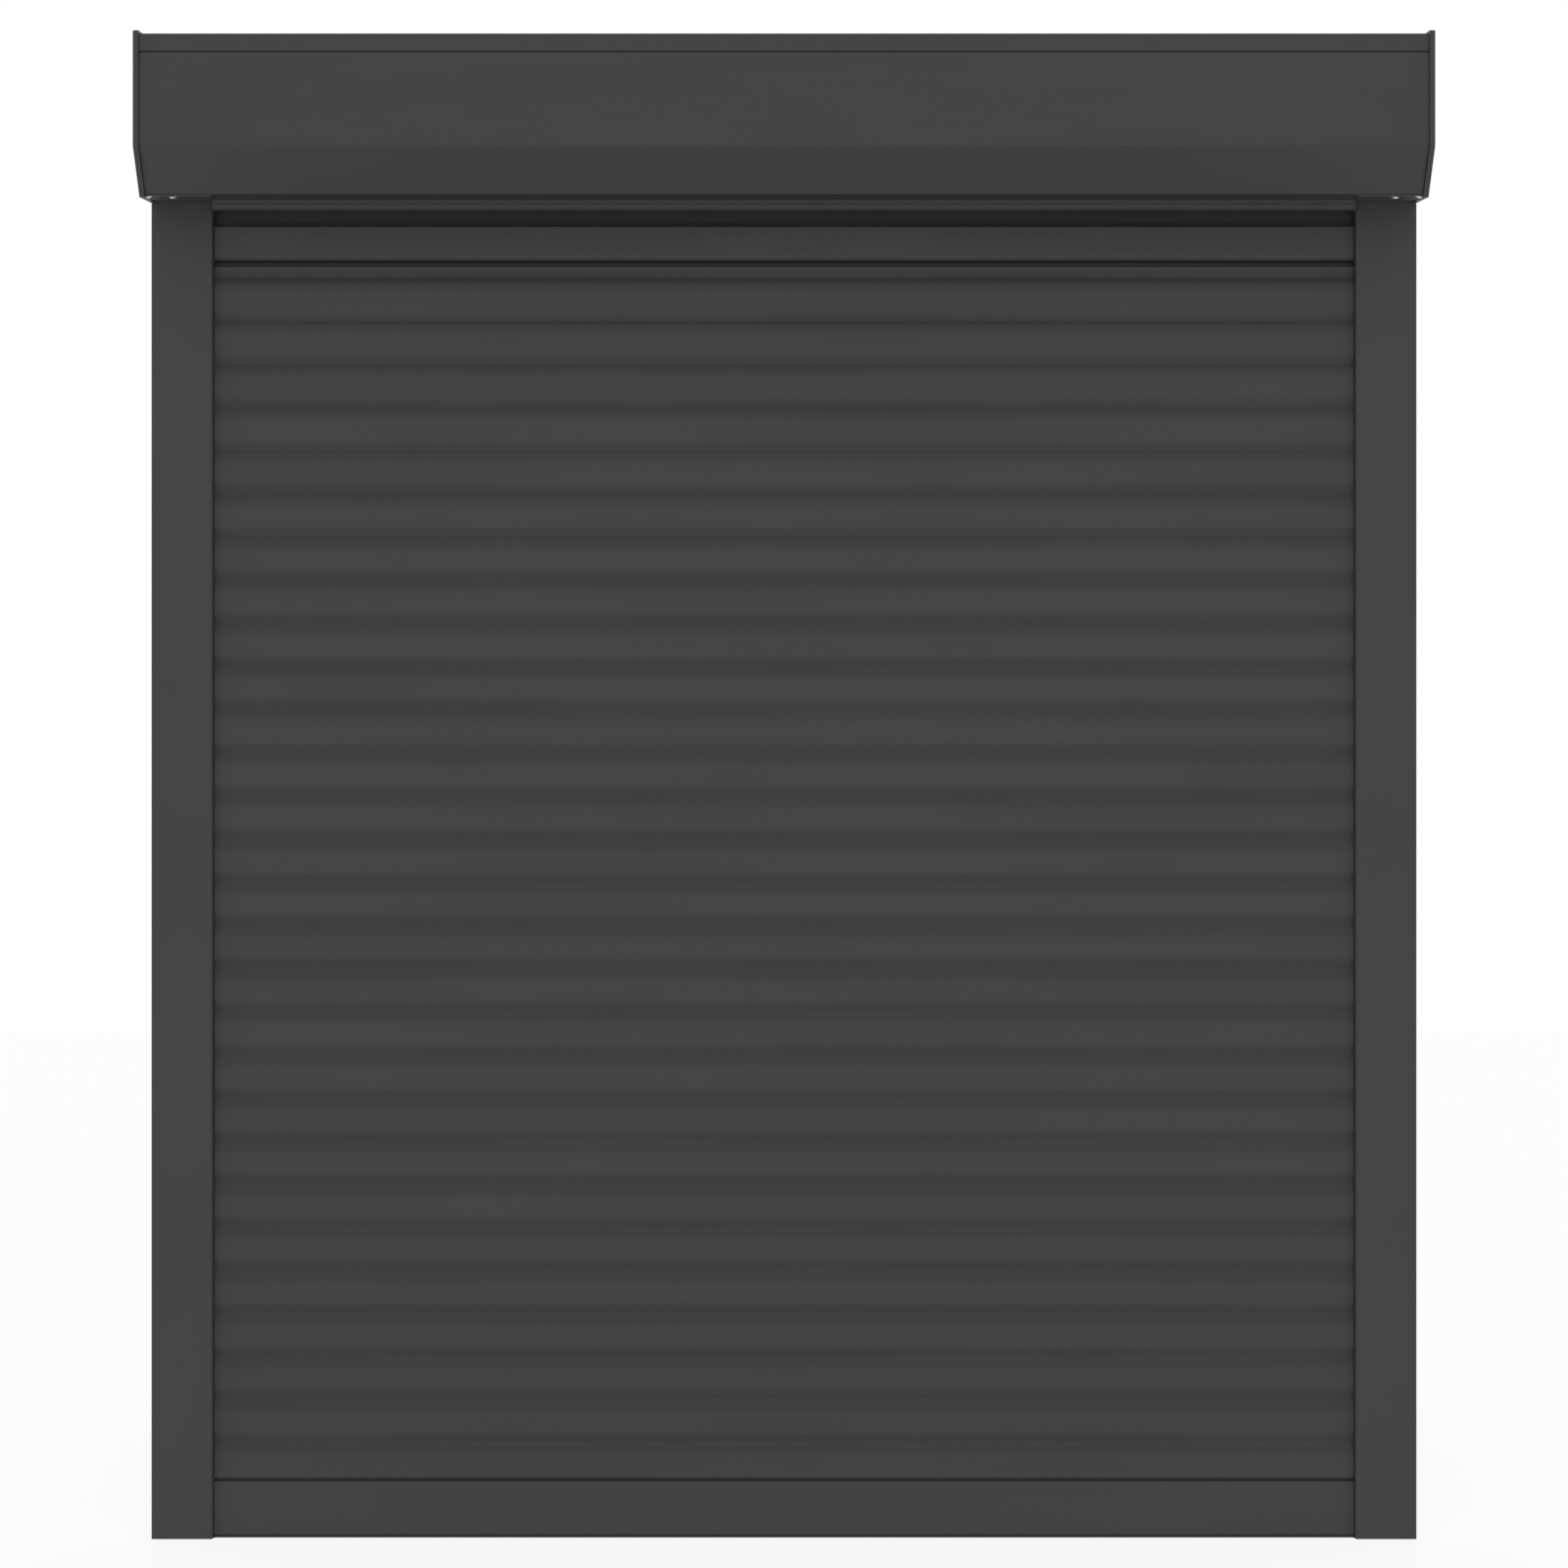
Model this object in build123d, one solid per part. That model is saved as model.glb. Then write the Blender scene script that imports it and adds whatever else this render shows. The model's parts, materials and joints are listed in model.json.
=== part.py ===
"""Exterior roller shutter for a window, with a front-mounted box and a tubular motor.

X runs across the window, +Y points to the wall and +Z up. The sill is at z = 0, x = 0 is the
centre line, and y = 0 is midway between the wall and the front of the box.
"""

from build123d import *
import math
import os

# Overall sizes, in millimetres
overall_width = 1100.0
overall_height = 1300.0
box_depth = 137.0
cap_height = 138.5
box_chamfer = 40.5
rail_width = 53.0
rail_depth = 22.0

# Curtain of hollow slats that hook into each other, and share the height between the end bar and
# the hanger profile
slat_count = 27
slat_depth = 8.5
slat_skin = 0.5
slat_entry = 22.0
shoulder_height = 9.2
front_set_back = 2.4
back_set_back = 1.2
neck_thickness = 1.2
neck_rise = 6.5
bead_diameter = 2.8
bead_clearance = 0.3
mouth_clearance = 0.5
lip_thickness = 1.0
seam_gap = 0.1

# Plastic end clips, in every second slat
clip_head = 2.0
clip_plug = 12.0
clip_clearance = 0.15
clip_edge = 0.4

# Hanger profile above the top slat, which the straps hold
hanger_drop = 64.6
hanger_wall = 1.0
hanger_web = 1.25
hanger_gap = 4.3
hanger_body_height = 31.9
hanger_nose_radius = 7.0
hanger_edge_radius = 1.6
hanger_tail = 31.0

# End bar: a lower chamber with the sill seal, a shadow groove and an upper chamber with a hook
end_bar_height = 83.05
end_bar_depth = 9.5
end_bar_wall = 1.3
end_bar_edge = 1.5
shadow_groove_foot = 49.1
shadow_groove_height = 3.2
shadow_groove_depth = 4.2
seal_projection = 2.0
seal_width = 9.0
seal_stem = 2.6
seal_foot = 5.0
seal_foot_height = 1.6
seal_clearance = 0.1
seal_radius = 0.4
end_plug_length = 18.0

# Guide rails
rail_wall = 1.5
rail_corner = 1.2
channel_depth = 26.0
rail_lip_length = 8.0
rail_lip_gap = 6.5
rib_length = 2.0
rib_place = 16.0
strip_gap = 5.0
strip_width = 6.0
strip_overhang = 1.0
strip_neck = 2.8
strip_foot = 4.8
strip_foot_height = 1.0
groove_clearance = 0.1
rail_hole_count = 4
rail_hole_spacing = 300.0
rail_first_hole = 130.0
rail_hole_diameter = 6.5
access_hole_diameter = 12.0
foot_plug_height = 15.0
plug_clearance = 0.25
plug_wall = 2.0

# Roller box
cap_plate = 4.5
cap_corner = 1.5
foot_flare = 8.0
foot_recess = 1.0
shell_inset = 2.5
sheet = 1.2
sheet_clearance = 0.3
bend_radius = 1.5
panel_bend_radius = 2.5
tongue_length = 14.0
tongue_wall = 1.8
spigot_length = 60.0
hem_height = 14.7
joggle_height = 10.0
joggle_run = 2.4
joggle_clearance = 0.15
return_flange = 16.0
lip_cove_radius = 3.4
lip_roll_radius = 6.0
lip_gap = 2.3
rail_side_gap = 0.5
notch_gap = 6.3

# Screws that hold the front panel to the end caps: how far in from the end of the box, and how
# far behind the foot of the bevel
inner_screw_from_end = 28.0
inner_screw_from_bevel = 10.5
outer_screw_from_end = 8.6
outer_screw_from_bevel = 4.2
screw_head_diameter = 7.6
screw_head_height = 2.1
screw_crown_width = 5.2
screw_shank = 3.9
screw_length = 8.0
screw_clearance = 0.1

# Inlet guides above the rails
guide_wall = 2.0
guide_height = 26.0
guide_flare = 7.0
guide_back_flare = 1.2
guide_end_gap = 2.5

# Winding tube and what turns with it
tube_flats = 40.0
tube_wall = 1.0
tube_end_room = 53.0
insert_clearance = 0.1
running_clearance = 0.06
shaft_rise = 69.0
strap_width = 24.0
strap_thickness = 0.8
strap_gap = 0.1
strap_spacing = 330.0
strap_bend = 12.0
strap_upper = 8.0
strap_slack = 16.0
strap_grip = 12.0
strap_slot_height = 5.0

# Tubular motor, on the right
motor_diameter = 35.0
motor_length = 455.0
motor_flange_diameter = 46.0
motor_flange = 5.0
motor_head_diameter = 38.0
motor_head_length = 22.0
crown_length = 15.0
crown_place = 6.0
drive_wheel_length = 16.0
output_diameter = 12.0
output_square = 10.0
output_bore = 10.0
wheel_gap = 1.0
bracket_plate = 3.0
bracket_side = 58.0
bracket_corner = 8.0
bracket_boss = 24.0

# Idler end, on the left
idler_length = 55.0
idler_flange_diameter = 46.0
idler_flange = 3.0
idler_bore_depth = 45.0
pin_diameter = 12.0
bearing_outside = 28.0
bearing_width = 8.0
bearing_ring = 2.0
bearing_gap = 0.3
holder_wall = 3.0
holder_plate = 4.0
bracket_screw_spacing = 42.0
bracket_screw_diameter = 4.0
bracket_screw_flats = 7.0
bracket_screw_head_height = 2.8

# Cable outlet in the back of the box
grommet_bore = 7.0
grommet_neck = 12.0
grommet_flange = 17.0
grommet_thickness = 2.0
grommet_from_end = 80.0
grommet_rise = 30.0

# One overrun serves every cut
overrun = 1.0

# Places that follow from the sizes
half_width = overall_width / 2
wall_y = box_depth / 2
front_y = -box_depth / 2
rail_top = overall_height - cap_height
rail_front = wall_y - rail_depth
rail_mouth = half_width - rail_width
channel_floor = rail_mouth + channel_depth
curtain_y = wall_y - rail_depth / 2
curtain_half = rail_mouth + slat_entry
plate_x = half_width - cap_plate
sheet_x = plate_x - sheet_clearance
foot_top = rail_top + shell_inset
half_depth = slat_depth / 2
bead_radius = bead_diameter / 2
socket_ceiling = neck_rise + seam_gap + bead_radius + bead_clearance
mouth_half = neck_thickness / 2 + mouth_clearance
socket_half = bead_radius + bead_clearance
first_slat_z = end_bar_height
slat_pitch = (rail_top - hanger_drop - first_slat_z) / slat_count
body_height = slat_pitch - seam_gap
top_slat_z = first_slat_z + slat_pitch * slat_count
shaft_z = rail_top + shaft_rise
tube_end = plate_x - tube_end_room
tube_bore_flats = tube_flats - 2 * tube_wall
insert_flats = tube_bore_flats - 2 * insert_clearance
bevel_y = front_y + box_chamfer
screw_places = (
    (half_width - inner_screw_from_end, bevel_y + inner_screw_from_bevel),
    (half_width - outer_screw_from_end, bevel_y + outer_screw_from_bevel),
)


def across(profile, x_from, x_to):
    """Solid with a profile drawn as (y, z), run along X."""
    return extrude(Plane.YZ.offset(x_from) * profile, x_to - x_from, dir=(1, 0, 0))


def window(y, z):
    """Rectangle between two limits along Y and two along Z, drawn as (y, z)."""
    place = Pos(sum(y) / 2, sum(z) / 2)
    return place * Rectangle(abs(y[1] - y[0]), abs(z[1] - z[0]))


def block(x, y, z):
    """Box between two limits along each of X, Y and Z."""
    size = [abs(pair[1] - pair[0]) for pair in (x, y, z)]
    return Pos(sum(x) / 2, sum(y) / 2, sum(z) / 2) * Box(*size)


def rod(x, radius, y=0.0, z=shaft_z):
    """Round bar between two limits along X."""
    return Pos(sum(x) / 2, y, z) * Rot(0, 90, 0) * Cylinder(radius, abs(x[1] - x[0]))


def post(z, radius, x, y):
    """Round bar between two limits along Z."""
    return Pos(x, y, sum(z) / 2) * Cylinder(radius, abs(z[1] - z[0]))


def octagon(flats):
    """Eight-sided outline round the shaft, with a flat towards the wall, drawn as (y, z)."""
    turned = Rot(0, 0, 180 / 8)
    return Pos(0, shaft_z) * turned * RegularPolygon(flats / 2, 8, major_radius=False)


def bent_sheet(path, thickness, side):
    """Section of a sheet whose one face follows a path."""
    return make_face(offset(path, thickness, side=side, kind=Kind.ARC).edges())


def rolled_sheet(centre, radius, start, sweep):
    """Section of the box's sheet bent round an arc, with the given radius on its hollow side."""
    inner = CenterArc(centre, radius, start, sweep)
    outer = CenterArc(centre, radius + sheet, start, sweep)
    return make_face([inner, outer, Line(inner @ 0, outer @ 0), Line(inner @ 1, outer @ 1)])


def pair(solid):
    """A solid and its mirror image at the other end of the shutter."""
    return Compound(children=[solid, mirror(solid, about=Plane.YZ)])


# The interlocking slat, the feature that the curtain depends on


def shoulder(sign, set_back, top):
    """Edges of the shoulder on one face, up to the foot of the neck: round in front, flat behind."""
    start = (sign * half_depth, top - shoulder_height)
    end = (sign * (half_depth - set_back), top)
    slope = TangentArc(start, end, tangent=(0, 1)) if sign < 0 else Line(start, end)
    return [slope, Line(end, (sign * neck_thickness / 2, top))]


def slat_face(sign, set_back, top):
    """Edges of one face of a slat: bevel, flat and shoulder."""
    lip = (sign * (half_depth - set_back), 0)
    low = (sign * half_depth, shoulder_height)
    high = (sign * half_depth, top - shoulder_height)
    return [
        Line((sign * mouth_half, 0), lip),
        Line(lip, low),
        Line(low, high),
        *shoulder(sign, set_back, top),
    ]


def hook(foot):
    """Edges of the neck and its round bead, above a shoulder at the given height."""
    centre = foot + neck_rise
    drop = math.sqrt(bead_radius**2 - (neck_thickness / 2) ** 2)
    start = math.degrees(math.atan2(-drop, neck_thickness / 2))
    right = neck_thickness / 2
    return [
        Line((-right, foot), (-right, centre - drop)),
        CenterArc((0, centre), bead_radius, start, 180 - 2 * start),
        Line((right, foot), (right, centre - drop)),
    ]


def socket():
    """Edges of the chamber in a lower lip, which the bead of the next slat hangs in."""
    return Polyline(
        (-mouth_half, 0),
        (-mouth_half, lip_thickness),
        (-socket_half, lip_thickness),
        (-socket_half, socket_ceiling),
        (socket_half, socket_ceiling),
        (socket_half, lip_thickness),
        (mouth_half, lip_thickness),
        (mouth_half, 0),
    )


def slat_hollow():
    """The space inside a slat, one skin inside its faces."""
    inner = half_depth - slat_skin
    floor = socket_ceiling + slat_skin
    high = body_height - shoulder_height
    roof = body_height - slat_skin
    front = TangentArc((-inner, high), (front_set_back - inner, roof), tangent=(0, 1))
    rest = Polyline(
        (-inner, high),
        (-inner, floor),
        (inner, floor),
        (inner, high),
        (inner - back_set_back, roof),
        (front_set_back - inner, roof),
    )
    return make_face([front, *rest.edges()])


def slat_section():
    """A slat's section, drawn from the middle of its lower lip."""
    edges = [*slat_face(-1, front_set_back, body_height)]
    edges += slat_face(1, back_set_back, body_height)
    edges += hook(body_height)
    edges += socket().edges()
    return make_face(edges) - slat_hollow()


def end_clip():
    """Plastic clip pressed into the right end of a slat, drawn from the slat's lower lip."""
    inner = half_depth - slat_skin - clip_clearance
    floor = socket_ceiling + slat_skin + clip_clearance
    high = body_height - shoulder_height
    plug = across(window((-inner, inner), (floor, high)), curtain_half - clip_plug, curtain_half)
    outer = half_depth - clip_edge
    head = across(
        window((-outer, outer), (shoulder_height, high)), curtain_half, curtain_half + clip_head
    )
    return plug + head


def slats():
    """Every slat from the end bar up, every second one with clips in its ends."""
    plain = across(slat_section(), -curtain_half, curtain_half)
    clip = end_clip()
    for number in range(slat_count):
        place = Pos(0, curtain_y, first_slat_z + slat_pitch * number)
        pieces = [plain] if number % 2 else [plain, clip, mirror(clip, about=Plane.YZ)]
        yield Compound(children=[place * piece for piece in pieces])


def hanger_profile():
    """Narrow top profile: a socket on the top slat, a nose in front and a web for the straps."""
    chamber_top = socket_ceiling + hanger_wall
    nose_foot = chamber_top + hanger_gap
    nose_top = nose_foot + hanger_body_height
    web_front = half_depth - hanger_web
    chamber = make_face(
        Polyline(
            (front_set_back - half_depth, 0),
            (-half_depth, shoulder_height),
            (-half_depth, chamber_top),
            (half_depth, chamber_top),
            (half_depth, 0),
            close=True,
        )
    )
    web = window((web_front, half_depth), (0, nose_top + hanger_tail))
    nose = window((-half_depth, half_depth), (nose_foot, nose_top))
    front = nose.vertices().group_by(Axis.X)[0]
    nose = fillet(front.group_by(Axis.Y)[0], hanger_nose_radius)
    nose = fillet(nose.vertices().group_by(Axis.Y)[-1].group_by(Axis.X)[0], hanger_edge_radius)
    hollow = window(
        (-half_depth + hanger_wall, web_front),
        (nose_foot + hanger_wall, nose_top - hanger_wall),
    )
    lower = hollow.vertices().group_by(Axis.X)[0].group_by(Axis.Y)[0]
    hollow = fillet(lower, hanger_nose_radius - hanger_wall)
    mouth = window((-mouth_half, mouth_half), (-overrun, lip_thickness))
    room = window((-socket_half, socket_half), (lip_thickness, socket_ceiling))
    section = chamber + web + nose - hollow - mouth - room
    place = Pos(0, curtain_y, top_slat_z)
    return place * across(section, -curtain_half, curtain_half)


# End bar


def seal_section(gap, shift):
    """Section of the seal's foot and stem in the end bar's groove, grown by a gap."""
    foot_z = seal_projection + end_bar_wall
    foot = window(
        (-seal_foot / 2 - gap, seal_foot / 2 + gap), (foot_z - gap, foot_z + seal_foot_height + gap)
    )
    stem = window((-seal_stem / 2 - gap, seal_stem / 2 + gap), (seal_projection - shift, foot_z))
    return foot + stem


def end_bar_places():
    """Heights in the end bar: groove for the seal, shadow groove and the foot of the hook."""
    seal_roof = seal_projection + 2 * end_bar_wall + seal_foot_height + seal_clearance
    groove_top = shadow_groove_foot + shadow_groove_height
    return seal_roof, groove_top, first_slat_z - seam_gap


def end_bar():
    """Hollow bar with a seal groove below, a shadow groove in front and a hook on top."""
    seal_roof, groove_top, top = end_bar_places()
    half = end_bar_depth / 2
    lower = window((-half, half), (seal_projection, shadow_groove_foot))
    lower = fillet(lower.vertices().group_by(Axis.Y)[0], end_bar_edge)
    inner = half - end_bar_wall
    lower -= window((-inner, inner), (seal_roof + end_bar_wall, shadow_groove_foot - end_bar_wall))
    bridge = window(
        (shadow_groove_depth - half, half_depth),
        (shadow_groove_foot - end_bar_wall, groove_top + end_bar_wall),
    )
    upper = window((-half_depth, half_depth), (groove_top, top - shoulder_height))
    upper += make_face(
        [
            Line((-half_depth, top - shoulder_height), (half_depth, top - shoulder_height)),
            *shoulder(-1, front_set_back, top),
            *shoulder(1, back_set_back, top),
            *hook(top),
        ]
    )
    inner = half_depth - end_bar_wall
    upper -= window((-inner, inner), (groove_top + end_bar_wall, top - shoulder_height))
    section = lower + bridge + upper - seal_section(seal_clearance, overrun)
    return Pos(0, curtain_y, 0) * across(section, -curtain_half, curtain_half)


def end_bar_seal():
    """Rubber seal that stands on the sill."""
    head = window((-seal_width / 2, seal_width / 2), (0, seal_projection))
    head = fillet(head.vertices().group_by(Axis.Y)[0], seal_radius)
    section = head + seal_section(0, 0)
    return Pos(0, curtain_y, 0) * across(section, -curtain_half, curtain_half)


def end_bar_plugs():
    """Plastic plugs that close the ends of the bar and slide in the rails."""
    seal_roof, groove_top, top = end_bar_places()
    inner = end_bar_depth / 2 - end_bar_wall - clip_clearance
    low = seal_roof + end_bar_wall + clip_clearance
    high = shadow_groove_foot - end_bar_wall - clip_clearance
    plug = across(window((-inner, inner), (low, high)), curtain_half - end_plug_length, curtain_half)
    lower = end_bar_depth / 2 - clip_edge
    upper = half_depth - clip_edge
    head = window((-lower, lower), (seal_projection + clip_edge, shadow_groove_foot - clip_edge))
    head += window((-upper, upper), (shadow_groove_foot - clip_edge, top - shoulder_height))
    plug += across(head, curtain_half, curtain_half + clip_head)
    return pair(Pos(0, curtain_y, 0) * plug)


# Guide rails


def strip_groove(side, gap):
    """Section of the seal strip's foot and neck in one lip, drawn as (x, y)."""
    middle = rail_mouth + rail_lip_length / 2
    face = curtain_y + side * rail_lip_gap
    foot_near = face + side * rail_wall / 2
    foot_far = foot_near + side * strip_foot_height
    neck = window((middle - strip_neck / 2 - gap, middle + strip_neck / 2 + gap), (face, foot_near))
    foot = window(
        (middle - strip_foot / 2 - gap, middle + strip_foot / 2 + gap),
        (foot_near - side * gap, foot_far + side * gap),
    )
    return neck + foot


def rail_section():
    """Right rail, drawn as (x, y): a hollow chamber outside, and the slat channel inside."""
    inner_front = rail_front + rail_wall
    inner_back = wall_y - rail_wall
    section = window((rail_mouth, half_width), (rail_front, wall_y))
    section = fillet(section.vertices().group_by(Axis.Y)[0], rail_corner)
    chamber = window((channel_floor + rail_wall, half_width - rail_wall), (inner_front, inner_back))
    channel = window((rail_mouth - overrun, channel_floor), (inner_front, inner_back))
    section = section - chamber - channel
    rib_x = rail_mouth + rib_place
    for side, wall in ((-1, inner_front), (1, inner_back)):
        face = curtain_y + side * rail_lip_gap
        section += window((rail_mouth, rail_mouth + rail_lip_length), (wall, face))
        section += window((rib_x, rib_x + rib_length), (wall, face))
        section -= strip_groove(side, groove_clearance)
    return section


def upright(profile, z_from, z_to):
    """Solid with a profile drawn as (x, y), run along Z."""
    return extrude(Plane.XY.offset(z_from) * profile, z_to - z_from, dir=(0, 0, 1))


def guide_rail():
    """Right rail, with fixing holes in its outer wall and access holes behind them."""
    rail = upright(rail_section(), 0, rail_top)
    for number in range(rail_hole_count):
        z = rail_first_hole + rail_hole_spacing * number
        outer_wall = (half_width - rail_wall - overrun, half_width + overrun)
        inner_wall = (channel_floor - overrun, channel_floor + rail_wall + overrun)
        rail -= rod(outer_wall, rail_hole_diameter / 2, curtain_y, z)
        rail -= rod(inner_wall, access_hole_diameter / 2, curtain_y, z)
    return rail


def rail_strips():
    """Seal strips in the front and back lip of the right rail."""
    strips = []
    for side in (-1, 1):
        near = curtain_y + side * strip_gap
        face = curtain_y + side * rail_lip_gap
        fin = window((rail_mouth - strip_overhang, rail_mouth + strip_width), (near, face))
        strips.append(upright(fin + strip_groove(side, 0), 0, rail_top))
    return strips


def rail_foot_plugs():
    """Plastic cups that close the lower ends of the rail chambers."""
    x = (channel_floor + rail_wall + plug_clearance, half_width - rail_wall - plug_clearance)
    y = (rail_front + rail_wall + plug_clearance, wall_y - rail_wall - plug_clearance)
    cup = block(x, y, (0, foot_plug_height))
    pocket = block(
        (x[0] + plug_wall, x[1] - plug_wall),
        (y[0] + plug_wall, y[1] - plug_wall),
        (plug_wall, foot_plug_height + overrun),
    )
    return pair(cup - pocket)


# Roller box


def box_corners(inset, back_inset):
    """Corners of the box's section moved inwards, from the lower back corner round the top."""
    shift = inset * (math.sqrt(2) - 1)
    return [
        (wall_y - back_inset, rail_top + inset),
        (wall_y - back_inset, overall_height - inset),
        (front_y + inset, overall_height - inset),
        (front_y + inset, rail_top + box_chamfer + shift),
        (front_y + box_chamfer + shift, rail_top + inset),
    ]


def box_face(inset, back_inset):
    """The box's section as a face, drawn as (y, z)."""
    return make_face(Polyline(*box_corners(inset, back_inset), close=True))


def curtain_notch(x, z):
    """The way that the curtain takes through a plate."""
    return block(x, (curtain_y - notch_gap, curtain_y + notch_gap), z)


def cut_screw_holes(solid):
    """Cuts the way of the front panel's screws through a piece, at both ends of the box."""
    z = (rail_top - overrun, rail_top + screw_length + overrun)
    for place_x, y in screw_places:
        for x in (-place_x, place_x):
            solid -= post(z, screw_shank / 2 + screw_clearance, x, y)
    return solid


def cut_tongue_rooms(solid):
    """Cuts a sheet back to its own thickness where the tongues of the end caps lie inside it."""
    room = box_face(shell_inset + sheet, sheet)
    for sign in (-1, 1):
        x_from = sign * (plate_x - tongue_length - sheet_clearance)
        solid -= across(room, x_from, sign * (sheet_x + overrun))
    return solid


def throat_lip():
    """Places along Y of the lip on the bottom panel: where its cove starts and its roll's centre."""
    roll_y = curtain_y - half_depth - lip_gap - lip_roll_radius
    return roll_y - lip_roll_radius - lip_cove_radius, roll_y


def cap_foot():
    """Foot of the right end cap on the rail, and its thinner, wider shelf in front of the rail."""
    front = box_corners(shell_inset, 0)[4][0]
    cove_y, roll_y = throat_lip()
    outline = Polyline(
        (plate_x, front),
        (rail_mouth - foot_flare, front),
        (rail_mouth, cove_y - sheet),
        (rail_mouth, wall_y),
        (plate_x, wall_y),
        close=True,
    )
    shelf = upright(make_face(outline), rail_top + foot_recess, foot_top)
    return shelf + block((rail_mouth, plate_x), (rail_front, wall_y), (rail_top, foot_top))


def end_cap():
    """Right end cap: outer plate, tongue inside the sheets, foot on the rail and spigot in it."""
    outline = box_face(0, 0)
    outline = fillet(outline.vertices().group_by(Axis.X)[0], cap_corner)
    cap = across(outline, plate_x, half_width)
    inset = shell_inset + sheet + sheet_clearance
    back = sheet + sheet_clearance
    ring = box_face(inset, back) - box_face(inset + tongue_wall, back + tongue_wall)
    cap += across(ring, plate_x - tongue_length, plate_x)
    cap += cap_foot()
    notch_x = (rail_mouth - overrun, channel_floor)
    cap -= curtain_notch(notch_x, (rail_top - overrun, foot_top + overrun))
    x = (channel_floor + rail_wall + plug_clearance, half_width - rail_wall - plug_clearance)
    y = (rail_front + rail_wall + plug_clearance, wall_y - rail_wall - plug_clearance)
    spigot_z = rail_top - spigot_length
    cap += block(x, y, (spigot_z, rail_top))
    cap -= block(
        (x[0] + plug_wall, x[1] - plug_wall),
        (y[0] + plug_wall, y[1] - plug_wall),
        (spigot_z - overrun, rail_top - plug_wall),
    )
    return cut_screw_holes(cap)


def hem_foot():
    """Height where the top cover's hem ends and the front panel starts."""
    return overall_height - shell_inset - hem_height


def grommet_centre():
    """Place of the cable outlet in the back sheet, as (x, z)."""
    return half_width - grommet_from_end, foot_top + grommet_rise


def box_rear_shell():
    """Top and back of the box in one sheet, with a hem down the front."""
    corners = box_corners(shell_inset, 0)
    path = FilletPolyline(
        (front_y + shell_inset, hem_foot()),
        corners[2],
        corners[1],
        (wall_y, foot_top),
        radius=bend_radius,
    )
    shell = across(bent_sheet(path, sheet, Side.RIGHT), -sheet_x, sheet_x)
    x, z = grommet_centre()
    hole = Pos(x, wall_y, z) * Rot(90, 0, 0) * Cylinder(grommet_neck / 2, 2 * sheet + overrun)
    return shell - hole


def box_front_panel():
    """Removable front: it tucks behind the hem, turns in at the chamfer and returns below."""
    corners = box_corners(shell_inset, 0)
    face = front_y + shell_inset
    behind = face + sheet + joggle_clearance
    top = hem_foot() + joggle_height
    path = FilletPolyline(
        (behind, top),
        (behind, hem_foot() - joggle_clearance),
        (face, hem_foot() - joggle_run),
        corners[3],
        corners[4],
        (corners[4][0] + return_flange, foot_top),
        radius=panel_bend_radius,
    )
    panel = across(bent_sheet(path, sheet, Side.LEFT), -sheet_x, sheet_x)
    return cut_screw_holes(cut_tongue_rooms(panel))


def box_bottom_panel():
    """Underside of the box, whose back edge sweeps down into a round lip for the curtain."""
    start = front_y + box_chamfer + shell_inset * (math.sqrt(2) - 1) + return_flange
    above = foot_top + sheet + joggle_clearance
    cove_y, roll_y = throat_lip()
    lip_z = foot_top - lip_cove_radius
    flat = Polyline(
        (start - joggle_height, above),
        (start + joggle_clearance, above),
        (start + joggle_run, foot_top),
        (cove_y, foot_top),
    )
    lip = rolled_sheet((cove_y, lip_z), lip_cove_radius, 0, 90)
    lip += rolled_sheet((roll_y, lip_z), lip_roll_radius - sheet, 180, 270)
    lip_x = rail_mouth - rail_side_gap
    panel = cut_tongue_rooms(across(bent_sheet(flat, sheet, Side.LEFT), -sheet_x, sheet_x))
    return cut_screw_holes(panel + across(lip, -lip_x, lip_x))


def panel_screws():
    """Screws up through the feet of the end caps into the front panel's return."""
    screws = []
    for place_x, y in screw_places:
        head_top = rail_top + foot_recess
        crown = Cone(screw_crown_width / 2, screw_head_diameter / 2, screw_head_height)
        screw = Pos(place_x, y, head_top - screw_head_height / 2) * crown
        screw += post((head_top, rail_top + screw_length), screw_shank / 2, place_x, y)
        screws += [screw, mirror(screw, about=Plane.YZ)]
    return Compound(children=screws)


def inlet_guides():
    """Flared plastic mouths that lead the curtain into the rails."""
    front = curtain_y - notch_gap
    back = curtain_y + notch_gap
    low = foot_top
    high = foot_top + guide_height
    front_wall = Polyline(
        (front, low), (front - guide_flare, high),
        (front - guide_flare - guide_wall, high), (front - guide_wall, low), close=True,
    )
    back_wall = Polyline(
        (back, low), (back + guide_back_flare, high),
        (back + guide_back_flare + guide_wall, high), (back + guide_wall, low), close=True,
    )
    end_wall = Polyline(
        (front - guide_wall, low), (front - guide_flare - guide_wall, high),
        (back + guide_back_flare + guide_wall, high), (back + guide_wall, low), close=True,
    )
    end_x = curtain_half + guide_end_gap
    walls = make_face(front_wall) + make_face(back_wall)
    guide = across(walls, rail_mouth + rail_side_gap, end_x + guide_wall)
    guide += across(make_face(end_wall), end_x, end_x + guide_wall)
    return pair(guide)


def cable_grommet():
    """Rubber ring where the supply cable leaves through the back sheet."""
    x, z = grommet_centre()
    depth = sheet + grommet_thickness
    turned = Rot(90, 0, 0)
    neck = Pos(x, wall_y - depth / 2, z) * turned * Cylinder(grommet_neck / 2, depth)
    flange_y = wall_y - sheet - grommet_thickness / 2
    flange = Pos(x, flange_y, z) * turned * Cylinder(grommet_flange / 2, grommet_thickness)
    bore = Pos(x, wall_y, z) * turned * Cylinder(grommet_bore / 2, 2 * depth + overrun)
    return neck + flange - bore


# Winding shaft


def strap_centres():
    """Places of the hanger straps along the tube."""
    return (-strap_spacing, 0, strap_spacing)


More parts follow.
